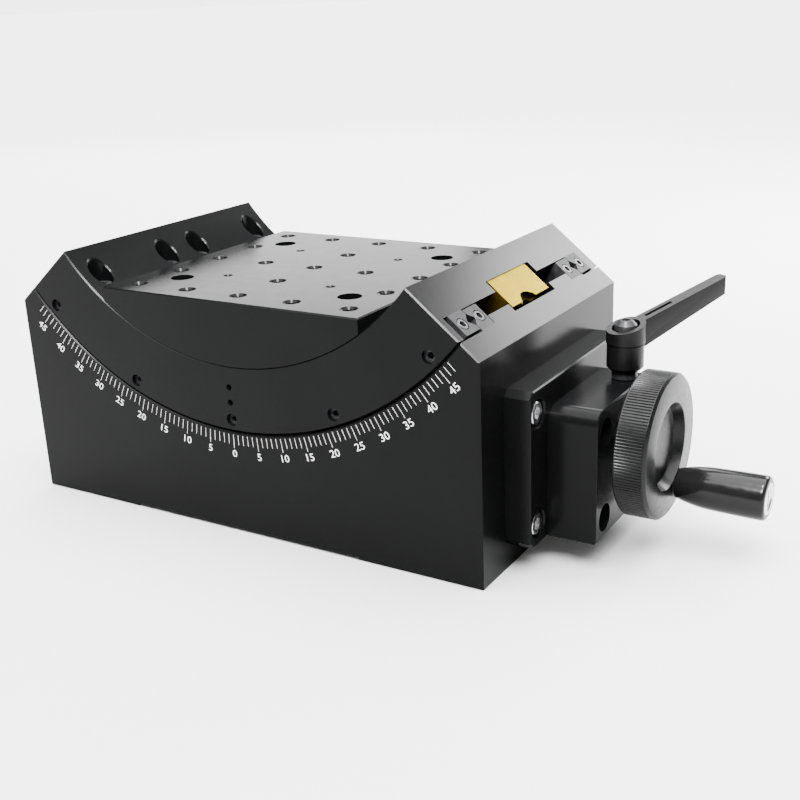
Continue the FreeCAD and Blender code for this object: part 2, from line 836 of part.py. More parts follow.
def flange_plate():
    """Bearing plate with a spigot that centres it in the base."""
    half = flange_depth / 2
    middle = flange_bottom + flange_height / 2
    plate = box((half_width, flange_face), (-half, half), (flange_bottom, flange_bottom + flange_height))

    def corner(p):
        side = abs(abs(p.y) - half)
        end = abs(abs(p.z - middle) - flange_height / 2)
        return side + end < 0.001

    plate = plate.makeChamfer(flange_corner, edges_at(plate, corner))
    face_edges = edges_at(plate, lambda p: abs(p.x - flange_face) < 0.001)
    plate = plate.makeChamfer(edge_chamfer, face_edges)
    start = half_width - spigot_length
    centre = V(0, 0, worm_height)
    plate = plate.fuse(rod(spigot_dia, centre + X_DIR * start, X_DIR, spigot_length))
    cutters = [rod(spigot_bore, centre + X_DIR * (start - 1), X_DIR, spigot_length)]
    cutters.append(rod(bearing_dia, centre + X_DIR * bearing_start, X_DIR, nut_start - bearing_start))
    cutters.append(rod(ring_nut_dia, centre + X_DIR * nut_start, X_DIR, flange_thickness))
    for seat in flange_seats():
        cutters.append(passing_hole(M5, seat, -X_DIR, flange_screw_length))
        cutters.append(rod(flange_counterbore_dia, seat, X_DIR, counterbore_reach))
        mouth = V(flange_face, seat.y, seat.z)
        cutters.append(lead_cone(flange_counterbore_dia, flange_counterbore_lead, mouth, X_DIR))
    for seat in clamp_seats():
        cutters.append(rod(M5["thread"], seat, -X_DIR, clamp_screw_length))
    return plate.cut(cutters)


def clamp_block():
    """Block split from the shaft bore to its back, so that the lever closes it on the shaft."""
    half = clamp_depth / 2
    block = box((flange_face, clamp_face), (-half, half), (clamp_bottom, clamp_top))
    top_edges = edges_at(block, lambda p: abs(abs(p.y) - half) + abs(p.z - clamp_top) < 0.001)
    block = block.makeFillet(clamp_corner_r, top_edges)
    face_edges = edges_at(block, lambda p: abs(p.x - clamp_face) < 0.001)
    block = block.makeChamfer(edge_chamfer, face_edges)
    centre = V(flange_face, 0, worm_height)
    bore = shaft_journal_dia + 2 * running_clearance
    cutters = [rod(bore, centre - X_DIR, X_DIR, clamp_thickness + 2)]
    cutters.append(rod(clamp_pocket_dia, centre - X_DIR, X_DIR, clamp_pocket_depth + 1))
    slit = (worm_height - clamp_slit / 2, worm_height + clamp_slit / 2)
    cutters.append(box((flange_face - 1, clamp_face + 1), (0, half + 1), slit))
    for seat in clamp_seats():
        cutters.append(passing_hole(M5, seat, -X_DIR, clamp_screw_length))
        cutters.append(rod(clamp_counterbore_dia, seat, X_DIR, clamp_counterbore_depth + 1))
    stud = V(lever_x, lever_y, clamp_top - lever_stud_length)
    cutters.append(rod(lever_stud_dia + 2 * running_clearance, stud, Z_DIR, lever_stud_length + 1))
    return block.cut(cutters)


def handwheel():
    """Dished wheel with a hub at the back and a recess round the hub."""
    outer = wheel_dia / 2
    hub = wheel_hub_dia / 2
    rim = outer - wheel_rim_wall
    face = wheel_width
    floor = face - dish_depth
    dish = dish_dia / 2
    profile = [(-wheel_hub_reach, 0), (-wheel_hub_reach, hub - wheel_edge)]
    profile += [(-wheel_hub_reach + wheel_edge, hub), (wheel_back_depth, hub), (wheel_back_depth, rim)]
    profile += [(0, rim), (0, outer - wheel_edge), (wheel_edge, outer), (face - wheel_edge, outer)]
    profile += [(face, outer - wheel_edge), (face, dish), (floor + dish_corner, dish - dish_slope)]
    profile += [(floor, dish - dish_slope - dish_corner), (floor, 0)]
    origin = V(wheel_back, 0, worm_height)
    body = turned(profile, origin)
    bore = rod(shaft_journal_dia, V(flange_face, 0, worm_height), X_DIR, shaft_right_end - flange_face)
    tap = V(wheel_face - spindle_thread_length, handle_y, handle_z)
    thread = rod(spindle_thread_dia, tap, X_DIR, wheel_width)
    screw = rod(wheel_set_screw_dia, V(set_screw_x, 0, worm_height), Z_DIR, wheel_hub_dia)
    return body.cut([bore, thread, screw])


def handwheel_set_screw():
    length = (wheel_hub_dia - shaft_journal_dia) / 2
    start = V(set_screw_x, 0, worm_height + shaft_journal_dia / 2)
    body = rod(wheel_set_screw_dia, start, Z_DIR, length)
    key_depth = wheel_set_screw_key
    return body.cut(hexagon(wheel_set_screw_key, start + Z_DIR * (length - key_depth), Z_DIR, key_depth))


def handle_spindle():
    """Shoulder screw that the grip turns on. Its head closes the end of the grip."""
    head = spindle_head_dia / 2
    shoulder = spindle_dia / 2
    thread = spindle_thread_dia / 2
    reach = grip_length - spindle_head_height
    edge = 0.3
    ring = head - spindle_head_ring
    disc = grip_length - spindle_head_sink
    profile = [(-spindle_thread_length, 0), (-spindle_thread_length, thread), (0, thread), (0, shoulder)]
    profile += [(reach, shoulder), (reach, head), (grip_length - edge, head), (grip_length, head - edge)]
    profile += [(grip_length, ring), (disc, ring - edge), (disc, 0)]
    body = turned(profile, V(wheel_face, handle_y, handle_z))
    wide = spindle_slot_width / 2
    tall = spindle_slot_length / 2
    slot = box((disc - spindle_slot_width / 2, grip_length + 1), (-wide, wide), (-tall, tall))
    slot.translate(V(wheel_face, handle_y, handle_z))
    return body.cut(slot)


def handle_grip():
    """Revolving grip: a slim foot that swells to a nearly straight barrel."""
    start = grip_foot_gap
    end = grip_length
    foot = grip_root_dia / 2
    full = grip_dia / 2
    bore = spindle_dia / 2 + running_clearance
    sink = grip_length - spindle_head_height - running_clearance
    recess = spindle_head_dia / 2 + running_clearance
    a = V(foot - grip_foot_edge, 0, start)
    b = V(foot, 0, start + 2 * grip_foot_edge)
    c = V(foot + grip_swell_share * (full - foot), 0, start + grip_swell_length / 2)
    d = V(full - grip_barrel_rise, 0, start + grip_swell_length)
    e = V(full - grip_barrel_rise / 4, 0, (start + grip_swell_length + end) / 2)
    f = V(full, 0, end - grip_corner)
    corner = grip_corner * (1 - math.sqrt(0.5))
    g = V(full - corner, 0, end - corner)
    h = V(full - grip_corner, 0, end)
    outside = [Part.makeLine(a, b), Part.Arc(b, c, d).toShape(), Part.Arc(d, e, f).toShape()]
    outside.append(Part.Arc(f, g, h).toShape())
    inside = [h, V(recess, 0, end), V(recess, 0, sink), V(bore, 0, sink), V(bore, 0, start), a]
    face = Part.Face(Part.Wire(outside + Part.makePolygon(inside).Edges))
    body = face.revolve(V(0, 0, 0), Z_DIR, 360)
    body.Placement = FreeCAD.Placement(V(wheel_face, handle_y, handle_z), FreeCAD.Rotation(Z_DIR, X_DIR))
    return body


def star(outer_dia, origin, height):
    """Serrated cylinder with pointed teeth."""
    points = []
    for i in range(2 * serration_count):
        r = outer_dia / 2 - (serration_tooth if i % 2 else 0)
        a = math.pi * i / serration_count
        points.append(origin + V(r * math.cos(a), r * math.sin(a), 0))
    return polygon_face(points).extrude(V(0, 0, height))


def lever_insert():
    """Steel foot with a stud below, serrations in the hub and a neck for the screw."""
    stud = lever_stud_dia / 2
    foot = lever_foot_dia / 2
    core = serration_outer_dia / 2 - serration_tooth - lever_neck_gap
    neck = lever_neck_dia / 2
    edge = 0.3
    end = 1 - lever_stud_length
    foot_top = lever_foot_height - serration_gap
    profile = [(end, 0), (end, stud - edge), (end + edge, stud), (0, stud), (0, foot - edge)]
    profile += [(edge, foot), (foot_top, foot), (foot_top, core), (serration_top, core)]
    profile += [(serration_top, neck), (screw_seat, neck), (screw_seat, 0)]
    body = turned(profile, lever_foot, Z_DIR)
    teeth = star(serration_outer_dia, lever_foot + Z_DIR * serration_start, serration_height)
    tap_end = lever_foot + Z_DIR * (screw_seat - lever_screw_length)
    return body.fuse(teeth).cut(rod(lever_screw_dia, tap_end, Z_DIR, lever_screw_length + 1))


def lever_screw():
    """Hexagon head screw with a bevelled top, that holds the arm and its spring."""
    r = lever_screw_dia / 2
    head = lever_screw_head_dia / 2
    top = lever_screw_head_height
    bevel = lever_screw_bevel
    profile = [(-lever_screw_length, 0), (-lever_screw_length, r), (0, r), (0, head)]
    profile += [(top - bevel, head), (top, head - bevel), (top, 0)]
    body = turned(profile, lever_foot + Z_DIR * screw_seat, Z_DIR)
    key_start = lever_foot + Z_DIR * (screw_seat + top - lever_screw_key_depth)
    return body.cut(hexagon(lever_screw_key, key_start, Z_DIR, lever_screw_key_depth))


def lever_spring():
    """Open coil of square wire under the screw head."""
    mean = (spring_dia - spring_wire) / 2
    half = spring_wire / 2
    air = 0.05
    pitch = (spring_height - spring_wire - 2 * air) / spring_turns
    helix = Part.makeHelix(pitch, pitch * spring_turns, mean)
    corners = [V(mean - half, 0, -half), V(mean + half, 0, -half)]
    corners += [V(mean + half, 0, half), V(mean - half, 0, half)]
    profile = Part.makePolygon(corners + [corners[0]])
    coil = Part.Wire(helix.Edges).makePipeShell([profile], True, True)
    coil.translate(lever_foot + Z_DIR * (web_top + spring_wire / 2 + air))
    return coil


def lever_hub(tall):
    """Hub with a waist line, a little slimmer below it. The top is left flat and too tall."""
    hub = lever_hub_dia / 2
    skirt = hub - lever_skirt_inset
    low = lever_foot_height
    waist = low + lever_skirt_height
    groove = skirt - lever_groove
    profile = [(low, 0), (low, skirt - lever_hub_round), (low + lever_hub_round, skirt), (waist, skirt)]
    profile += [(waist, groove), (waist + lever_groove, groove), (waist + lever_groove, hub)]
    profile += [(tall, hub), (tall, 0)]
    return turned(profile, V(0, 0, 0), Z_DIR)


def lever_beam(root_top, tip_top):
    """Arm that narrows and thins to its tip, with the tip's corners cut off."""
    tip = lever_arm_length
    cut = lever_tip_corner
    tip_low = tip_top - lever_arm_tip_depth
    side = [V(0, 0, root_top - lever_arm_root_depth), V(0, 0, root_top), V(tip, 0, tip_top)]
    side += [V(tip, 0, tip_low + cut), V(tip - cut, 0, tip_low)]
    root = lever_arm_root_width / 2
    end = lever_arm_tip_width / 2
    plate = polygon_face(side).extrude(V(0, 2 * root, 0))
    plate.translate(V(0, -root, 0))
    plan = [V(0, -root, 0), V(tip - cut, -end, 0), V(tip, cut - end, 0)]
    plan += [V(tip, end - cut, 0), V(tip - cut, end, 0), V(0, root, 0)]
    return plate.common(polygon_face(plan).extrude(V(0, 0, tip_top + 1)))


def lever_arm():
    """Hub with a chamber for the screw, and an arm that rises to its tip."""
    rise = math.tan(math.radians(lever_rise))
    top_at_axis = lever_foot_height + lever_hub_height
    tall = top_at_axis + lever_hub_dia * rise
    body = lever_hub(tall).fuse(lever_beam(top_at_axis, top_at_axis + lever_arm_length * rise))
    far = 2 * lever_arm_length
    above = [V(-far, -far, top_at_axis - far * rise), V(far, -far, top_at_axis + far * rise)]
    above += [V(far, -far, far), V(-far, -far, far)]
    body = body.cut(polygon_face(above).extrude(V(0, 2 * far, 0)))
    spline_start = lever_foot_height - 1
    spline_end = serration_top + serration_clearance / 2
    spline_dia = serration_outer_dia + 2 * serration_clearance
    spline = star(spline_dia, V(0, 0, spline_start), spline_end - spline_start)
    core = rod(lever_neck_dia + 2 * lever_neck_gap, V(0, 0, 0), Z_DIR, tall)
    free = rod(lever_chamber_dia, V(0, 0, spline_end), Z_DIR, web_bottom - spline_end)
    chamber = rod(lever_chamber_dia, V(0, 0, web_top), Z_DIR, tall)
    near = lever_hub_dia / 2 + lever_slot_start
    wide = lever_slot_width / 2
    groove = box((near, near + lever_slot_length), (-wide, wide), (-lever_slot_depth, lever_slot_depth))
    groove.rotate(V(0, 0, 0), Y_DIR, -lever_rise)
    groove.translate(V(0, 0, top_at_axis))
    body = body.cut([spline, core, free, chamber, groove])
    body.rotate(V(0, 0, 0), Z_DIR, lever_heading)
    body.translate(lever_foot)
    return body


def group_screws(size, seats, drive, length):
    """One screw per seat."""
    return [socket_screw(size, seat, drive, length) for seat in seats]


def save(name, solids):
    """Write one sub-part. A list becomes a group of separate solids."""
    shape = Part.makeCompound(solids) if isinstance(solids, list) else solids
    bad = [s for s in shape.Solids if not s.isValid()]
    print(name, "solids", len(shape.Solids), "volume", round(shape.Volume, 1), "invalid", len(bad))
    shape.exportStep("parts/" + name + ".step")


def main():
    os.makedirs("parts", exist_ok=True)
    save("base", base())
    save("inner_rail_front", rail(True, -1))
    save("inner_rail_back", rail(True, 1))
    save("inner_rail_screws", inner_rail_screws())
    save("inner_rail_end_screws", rail_end_screws(True))
    save("flange_plate", flange_plate())
    save("flange_screws", group_screws(M5, flange_seats(), X_DIR, flange_screw_length))
    save("clamp_block", clamp_block())
    save("clamp_block_screws", group_screws(M5, clamp_seats(), X_DIR, clamp_screw_length))
    save("worm_bearings", worm_bearings())
    save("bearing_nut", bearing_nut())
    save("cradle", cradle())
    save("table", table())
    save("table_screws", group_screws(M5, table_seats(), Z_DIR, table_screw_length))
    save("outer_rail_front", rail(False, -1))
    save("outer_rail_back", rail(False, 1))
    save("outer_rail_screws", group_screws(M5, arc_screws(outer_rail_screw_y), Z_DIR, arc_screw_length))
    save("outer_rail_end_screws", rail_end_screws(False))
    save("preload_screws", preload_screws())
    save("worm_segment", worm_segment())
    save("segment_screws", group_screws(M5, arc_screws(segment_screw_y), Z_DIR, arc_screw_length))
    save("roller_cages", roller_cages())
    save("crossed_rollers", crossed_rollers())
    save("worm_shaft", worm_shaft())
    save("bearing_inner_rings", bearing_inner_rings())
    save("shaft_nut", shaft_nut())
    save("handwheel", handwheel())
    save("handwheel_set_screw", handwheel_set_screw())
    save("handle_spindle", handle_spindle())
    save("handle_grip", handle_grip())
    save("lever_insert", lever_insert())
    save("lever_screw", lever_screw())
    save("lever_arm", lever_arm())
    save("lever_spring", lever_spring())


main()
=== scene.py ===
"""Looks of a cradle goniometer: finishes, scale, handwheel, threads, lever and studio.

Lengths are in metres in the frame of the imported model: X runs to the handwheel, Y from front
to back, Z up. The cradle tilts about a line along Y, TILT_HEIGHT above the base.
"""

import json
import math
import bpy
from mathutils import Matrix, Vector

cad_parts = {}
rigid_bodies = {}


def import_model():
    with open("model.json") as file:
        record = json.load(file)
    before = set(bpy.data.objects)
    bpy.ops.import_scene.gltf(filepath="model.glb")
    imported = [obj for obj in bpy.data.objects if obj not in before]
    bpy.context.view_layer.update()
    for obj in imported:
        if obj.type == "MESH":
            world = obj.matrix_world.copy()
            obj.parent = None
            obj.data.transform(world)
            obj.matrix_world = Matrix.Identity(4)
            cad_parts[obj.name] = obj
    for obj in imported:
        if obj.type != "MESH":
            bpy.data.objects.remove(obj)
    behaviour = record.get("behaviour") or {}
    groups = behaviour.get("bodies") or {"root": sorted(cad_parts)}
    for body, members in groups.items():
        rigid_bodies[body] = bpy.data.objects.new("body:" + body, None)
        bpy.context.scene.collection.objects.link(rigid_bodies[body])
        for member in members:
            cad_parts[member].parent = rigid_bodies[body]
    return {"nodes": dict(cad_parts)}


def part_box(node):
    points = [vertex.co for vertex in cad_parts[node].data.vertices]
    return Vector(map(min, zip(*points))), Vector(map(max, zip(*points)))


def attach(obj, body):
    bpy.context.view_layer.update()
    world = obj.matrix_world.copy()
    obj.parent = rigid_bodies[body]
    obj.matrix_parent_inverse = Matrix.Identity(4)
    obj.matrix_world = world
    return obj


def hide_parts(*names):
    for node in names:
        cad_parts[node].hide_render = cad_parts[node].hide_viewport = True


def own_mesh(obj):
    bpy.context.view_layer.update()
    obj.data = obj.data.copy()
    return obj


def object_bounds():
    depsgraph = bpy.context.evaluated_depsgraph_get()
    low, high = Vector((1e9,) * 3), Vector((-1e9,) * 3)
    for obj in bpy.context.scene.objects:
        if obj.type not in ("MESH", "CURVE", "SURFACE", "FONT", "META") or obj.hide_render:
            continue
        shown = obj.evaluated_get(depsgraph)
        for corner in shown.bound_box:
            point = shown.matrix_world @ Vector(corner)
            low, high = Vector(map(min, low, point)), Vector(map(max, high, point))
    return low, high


bl_info = {
    "name": "Angle Stage Looks",
    "version": (1, 0, 0),
    "blender": (4, 5, 0),
    "location": "3D View > Sidebar > Angle Stage",
    "description": "Finishes, scale, handwheel, threads, lever and studio of a goniometer",
    "category": "Object",
}

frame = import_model()
cad_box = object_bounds()

import bmesh
import bpy
from bpy.props import FloatProperty, FloatVectorProperty, IntProperty, PointerProperty
from mathutils import Matrix, Vector

MM = 0.001
TILT_HEIGHT = 0.171
FRONT_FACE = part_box("base")[0].y
WHEEL_LOW, WHEEL_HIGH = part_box("handwheel")
MERGE = 0.001 * MM
STEPS_PER_FLUTE = 4
THREAD_TURNS = 6
BIG_THREAD = (2.49 * MM, 2.16 * MM, 1.0 * MM, 2.2 * MM)
SMALL_THREAD = (1.49 * MM, 1.28 * MM, 0.7 * MM, 1.3 * MM)

# Lights: place, size and power. The boxes behind the stage are what its polished faces mirror.
STAGE_MIDDLE = (0.0, 0.0, 0.07)
SOFTBOXES = {
    "back_box": ((0.18, 1.0, 0.50), (0.40, 0.36), 4.4),
    "back_left": ((-0.92, 1.0, 0.40), (0.84, 0.28), 4.2),
    "lever_box": ((-0.40, 1.0, 0.79), (0.46, 0.40), 5.5),
    "arc_box": ((0.32, 1.0, 1.02), (0.34, 0.40), 0.9),
}
KEY_PLACES = ((0.10, -0.74, 1.01), (0.46, -0.62, 0.99), (0.17, -0.20, 1.24))
KEY_SIZE = (0.22, 0.22)
NOT_KEYED = ("studio_floor", "scale_ticks", "scale_numerals")

FINISHES = {
    "black_anodise": ["base", "cradle", "table", "flange_plate", "clamp_block"],
    "ground_steel": ["inner_rail_front", "inner_rail_back", "outer_rail_front", "outer_rail_back"],
    "zinc_steel": [
        "inner_rail_screws", "flange_screws", "clamp_block_screws", "worm_shaft", "shaft_nut",
        "bearing_nut", "handle_spindle", "lever_spring",
    ],
    "black_oxide": [
        "preload_screws", "handwheel_set_screw", "table_screws", "lever_insert", "lever_screw",
        "inner_rail_end_screws", "outer_rail_end_screws", "outer_rail_screws", "segment_screws",
    ],
    "milled_brass": ["worm_segment", "roller_cages"],
    "race_steel": ["worm_bearings", "bearing_inner_rings", "crossed_rollers"],
    "gloss_grip": ["handle_grip"],
    "powder_coat": ["lever_arm"],
    "turned_anodise": ["handwheel"],
}


class FinishSettings(bpy.types.PropertyGroup):
    """Colours and gloss of the stage's finishes."""

    anodise_color: FloatVectorProperty(
        name="Anodise", description="Colour of the black anodised parts",
        subtype="COLOR", default=(0.0011, 0.00115, 0.0012), min=0.0, max=1.0)
    anodise_roughness: FloatProperty(
        name="Anodise roughness", description="Roughness of the anodised parts",
        default=0.22, min=0.0, max=1.0)
    brass_color: FloatVectorProperty(
        name="Brass", description="Colour of the worm segment",
        subtype="COLOR", default=(0.13, 0.085, 0.010), min=0.0, max=1.0)
    paint_color: FloatVectorProperty(
        name="Scale paint", description="Colour of the engraved marks",
        subtype="COLOR", default=(0.88, 0.88, 0.87), min=0.0, max=1.0)


class ScaleSettings(bpy.types.PropertyGroup):
    """Sizes of the angle scale on the front of the base."""

    tick_radius: FloatProperty(
        name="Tick start", description="Radius where the marks begin",
        default=0.1300, unit="LENGTH")
    long_tick: FloatProperty(
        name="Long mark", description="Length of a five degree mark",
        default=0.0055, unit="LENGTH")
    short_tick: FloatProperty(
        name="Short mark", description="Length of a one degree mark",
        default=0.0039, unit="LENGTH")
    tick_width: FloatProperty(
        name="Mark width", description="Width of a mark",
        default=0.00014, unit="LENGTH")
    last_tick: IntProperty(
        name="Last mark", description="Degrees of the last mark on each side",
        default=47, min=5, max=50)
    numeral_radius: FloatProperty(
        name="Numeral radius", description="Radius of the middle of the numerals",
        default=0.1380, unit="LENGTH")
    numeral_height: FloatProperty(
        name="Numeral height", description="Height of the numerals",
        default=0.0030, unit="LENGTH")
    numeral_stretch: FloatProperty(
        name="Numeral stretch", description="Widening of the numerals",
        default=1.12, min=0.5, max=2.0)
    numeral_weight: FloatProperty(
        name="Numeral weight", description="Thickening of the strokes on each side",
        default=0.0, unit="LENGTH")


class HandwheelSettings(bpy.types.PropertyGroup):
    """Sizes of the handwheel's knurl."""

    flutes: IntProperty(
        name="Flutes", description="Straight flutes round the rim", default=150, min=12, max=200)
    flute_depth: FloatProperty(
        name="Flute depth", description="Depth of a flute", default=0.00027, unit="LENGTH")
    plain_band: FloatProperty(
        name="Plain band", description="Width of the band without flutes beside the face",
        default=0.0012, unit="LENGTH")
    rim_chamfer: FloatProperty(
        name="Rim chamfer", description="Chamfer between the rim and the face",
        default=0.0010, unit="LENGTH")


class ThreadSettings(bpy.types.PropertyGroup):
    """Grid of the tapped holes in the table."""

    hole_pitch: FloatProperty(
        name="Pitch", description="Distance between holes", default=0.025, unit="LENGTH")
    holes: IntProperty(
        name="Holes", description="Holes along a side", default=5, min=1, max=9)


class LeverSettings(bpy.types.PropertyGroup):
    """Rounding of the clamping lever and travel of its spring."""

    edge_round: FloatProperty(
        name="Edge round", description="Radius of the casting's edges",
        default=0.0004, unit="LENGTH")
    spring_keep: FloatProperty(
        name="Spring length kept", description="Share of the spring's length left at full lift",
        default=0.53, min=0.1, max=1.0)


class StudioSettings(bpy.types.PropertyGroup):
    """Camera and lights."""

    camera_place: FloatVectorProperty(
        name="Camera", description="Place of the camera", subtype="TRANSLATION",
        unit="LENGTH", default=(0.274155, -0.379335, 0.198151))
    camera_azimuth: FloatProperty(
        name="Azimuth", description="Turn of the camera from straight in front",
        default=math.radians(31.826), unit="ROTATION")
    camera_elevation: FloatProperty(
        name="Elevation", description="How steeply the camera looks down",
        default=math.radians(19.327), unit="ROTATION")
    camera_roll: FloatProperty(
        name="Roll", description="Tilt of the picture", default=math.radians(-2.364),
        unit="ROTATION")
    lens: FloatProperty(
        name="Lens", description="Focal length in millimetres", default=52.067)
    horizon_glow: FloatProperty(
        name="Horizon", description="Brightness of the backdrop at the horizon",
        default=4.4, min=0.0)
    sky_glow: FloatProperty(
        name="Sky", description="Brightness of the room above the horizon",
        default=0.5, min=0.0)
    overhead_power: FloatProperty(
        name="Overhead", description="Strength of the soft light from above",
        default=17.0, min=0.0)
    key_power: FloatProperty(
        name="Key", description="Power of each small light that draws the stage's edges",
        default=50.0, min=0.0)
    floor_color: FloatVectorProperty(
        name="Floor", description="Colour of the floor", subtype="COLOR",
        default=(0.86, 0.86, 0.86), min=0.0, max=1.0)


def node_material(name, color, metallic, roughness):
    """Material with the fixed values on its shader's own sockets."""
    material = bpy.data.materials.new(name)
    material.use_nodes = True
    shader = material.node_tree.nodes["Principled BSDF"]
    shader.inputs["Base Color"].default_value = (*color, 1.0)
    shader.inputs["Metallic"].default_value = metallic
    shader.inputs["Roughness"].default_value = roughness
    material.diffuse_color = (*color, 1.0)
    return material, shader


def noise(material, scale, detail):
    """Noise on the object's own coordinates."""
    nodes = material.node_tree.nodes
    place = nodes.new("ShaderNodeTexCoord")
    texture = nodes.new("ShaderNodeTexNoise")
    texture.inputs["Scale"].default_value = scale
    texture.inputs["Detail"].default_value = detail
    material.node_tree.links.new(place.outputs["Object"], texture.inputs["Vector"])
    return texture


def vary_roughness(material, shader, texture, low, high):
    """Roughness between two values, following a noise."""
    spread = material.node_tree.nodes.new("ShaderNodeMapRange")
    spread.inputs["From Min"].default_value = 0.3
    spread.inputs["From Max"].default_value = 0.7
    spread.inputs["To Min"].default_value = low
    spread.inputs["To Max"].default_value = high
    links = material.node_tree.links
    links.new(texture.outputs["Fac"], spread.inputs["Value"])
    links.new(spread.outputs["Result"], shader.inputs["Roughness"])


def vary_color(material, shader, texture, color, spread):
    """Colour a little darker and lighter than the given one, following a noise."""
    ramp = material.node_tree.nodes.new("ShaderNodeValToRGB")
    for element, place, sign in zip(ramp.color_ramp.elements, (0.35, 0.65), (-1, 1)):
        element.position = place
        element.color = (*(c * (1.0 + sign * spread) for c in color), 1.0)
    links = material.node_tree.links
    links.new(texture.outputs["Fac"], ramp.inputs["Fac"])
    links.new(ramp.outputs["Color"], shader.inputs["Base Color"])


def add_bump(material, shader, texture, strength, distance):
    """Fine relief from a texture."""
    bump = material.node_tree.nodes.new("ShaderNodeBump")
    bump.inputs["Strength"].default_value = strength
    bump.inputs["Distance"].default_value = distance
    links = material.node_tree.links
    links.new(texture.outputs["Fac"], bump.inputs["Height"])
    links.new(bump.outputs["Normal"], shader.inputs["Normal"])


def surface(name, color, metallic, roughness, ior=None, tint=None, gloss=None, relief=None):
    """Material with noise in its colour, roughness and relief.

    Each noise starts with its scale and detail. Tint goes on with the spread of the colour,
    gloss with the lowest and highest roughness, relief with its strength and depth.
    """
    material, shader = node_material(name, color, metallic, roughness)
    if ior:
        shader.inputs["IOR"].default_value = ior
    if tint:
        scale, detail, spread = tint
        vary_color(material, shader, noise(material, scale, detail), color, spread)
    if gloss:
        scale, detail, low, high = gloss
        vary_roughness(material, shader, noise(material, scale, detail), low, high)
    if relief:
        scale, detail, strength, distance = relief
        add_bump(material, shader, noise(material, scale, detail), strength, distance)
    return material, shader


def anodised_finish(settings):
    rough = settings.anodise_roughness
    material, shader = surface(
        "black_anodise", settings.anodise_color, 0.0, rough, ior=1.138,
        tint=(30.0, 3.0, 0.12), gloss=(160.0, 4.0, rough - 0.012, rough + 0.012),
        relief=(6500.0, 2.0, 0.10, 0.00002))
    return material


def rail_finish(settings):
    material, shader = surface(
        "ground_steel", (0.010, 0.010, 0.0105), 0.1, 0.40, ior=1.13,
        tint=(420.0, 4.0, 0.25), gloss=(900.0, 3.0, 0.34, 0.48),
        relief=(5200.0, 2.0, 0.12, 0.00002))
    return material


def steel_finish(settings):
    material, shader = surface(
        "zinc_steel", (0.60, 0.60, 0.61), 1.0, 0.20,
        tint=(300.0, 3.0, 0.05), gloss=(700.0, 3.0, 0.16, 0.24),
        relief=(2400.0, 2.0, 0.03, 0.00002))
    return material


def oxide_finish(settings):
    material, shader = surface(
        "black_oxide", (0.010, 0.010, 0.011), 0.15, 0.30, ior=1.25,
        tint=(600.0, 3.0, 0.2), gloss=(1500.0, 3.0, 0.24, 0.36))
    return material


def brass_finish(settings):
    material, shader = surface(
        "milled_brass", settings.brass_color, 1.0, 0.38,
        tint=(90.0, 3.0, 0.05), gloss=(700.0, 4.0, 0.34, 0.44),
        relief=(3000.0, 3.0, 0.06, 0.00002))
    shader.inputs["Specular Tint"].default_value = (1.0, 0.95, 0.5, 1.0)
    return material


def bearing_finish(settings):
    material, shader = surface(
        "race_steel", (0.72, 0.72, 0.74), 1.0, 0.10, gloss=(900.0, 2.0, 0.08, 0.16))
    return material


def grip_finish(settings):
    material, shader = surface(
        "gloss_grip", (0.0025, 0.0025, 0.0026), 0.0, 0.16, ior=1.24,
        tint=(120.0, 2.0, 0.1), gloss=(500.0, 3.0, 0.13, 0.20),
        relief=(900.0, 2.0, 0.03, 0.00003))
    return material


def coat_finish(settings):
    material, shader = surface(
        "powder_coat", (0.0012, 0.0012, 0.0013), 0.0, 0.42, ior=1.22,
        tint=(250.0, 3.0, 0.15), gloss=(900.0, 3.0, 0.38, 0.46),
        relief=(2600.0, 3.0, 0.20, 0.00003))
    return material


def wheel_finish(settings):
    """Anodised over fine turning rings about the wheel's axis."""
    material, shader = surface(
        "turned_anodise", settings.anodise_color, 0.0, 0.30, ior=1.22,
        tint=(60.0, 3.0, 0.12), gloss=(500.0, 3.0, 0.26, 0.36))
    nodes = material.node_tree.nodes
    links = material.node_tree.links
    place = nodes.new("ShaderNodeTexCoord")
    centre = nodes.new("ShaderNodeMapping")
    middle = (WHEEL_LOW + WHEEL_HIGH) / 2
    centre.inputs["Location"].default_value = (0.0, -middle.y, -middle.z)
    rings = nodes.new("ShaderNodeTexWave")
    rings.wave_type = "RINGS"
    rings.rings_direction = "X"
    rings.inputs["Scale"].default_value = 900.0
    rings.inputs["Distortion"].default_value = 0.4
    links.new(place.outputs["Object"], centre.inputs["Vector"])
    links.new(centre.outputs["Vector"], rings.inputs["Vector"])
    add_bump(material, shader, rings, 0.05, 0.00002)
    return material


def paint_finish(settings):
    material, shader = surface(
        "white_infill", settings.paint_color, 0.0, 0.55, tint=(800.0, 2.0, 0.04))
    return material


MAKERS = {
    "black_anodise": anodised_finish,
    "ground_steel": rail_finish,
    "zinc_steel": steel_finish,
    "black_oxide": oxide_finish,
    "milled_brass": brass_finish,
    "race_steel": bearing_finish,
    "gloss_grip": grip_finish,
    "powder_coat": coat_finish,
    "turned_anodise": wheel_finish,
    "white_infill": paint_finish,
}


def finish(name):
    """The named finish, made when it is first asked for."""
    found = bpy.data.materials.get(name)
    return found or MAKERS[name](bpy.context.scene.stage_finish)


def dress(piece, name):
    """Give a mesh one finish all over."""
    piece.data.materials.clear()
    piece.data.materials.append(finish(name))


def new_piece(name, mesh_builder, finish_name):
    """Object from a bmesh, at the origin."""
    mesh = bpy.data.meshes.new(name)
    mesh_builder.normal_update()
    mesh_builder.to_mesh(mesh)
    mesh_builder.free()
    piece = bpy.data.objects.new(name, mesh)
    bpy.context.scene.collection.objects.link(piece)
    dress(piece, finish_name)
    return piece


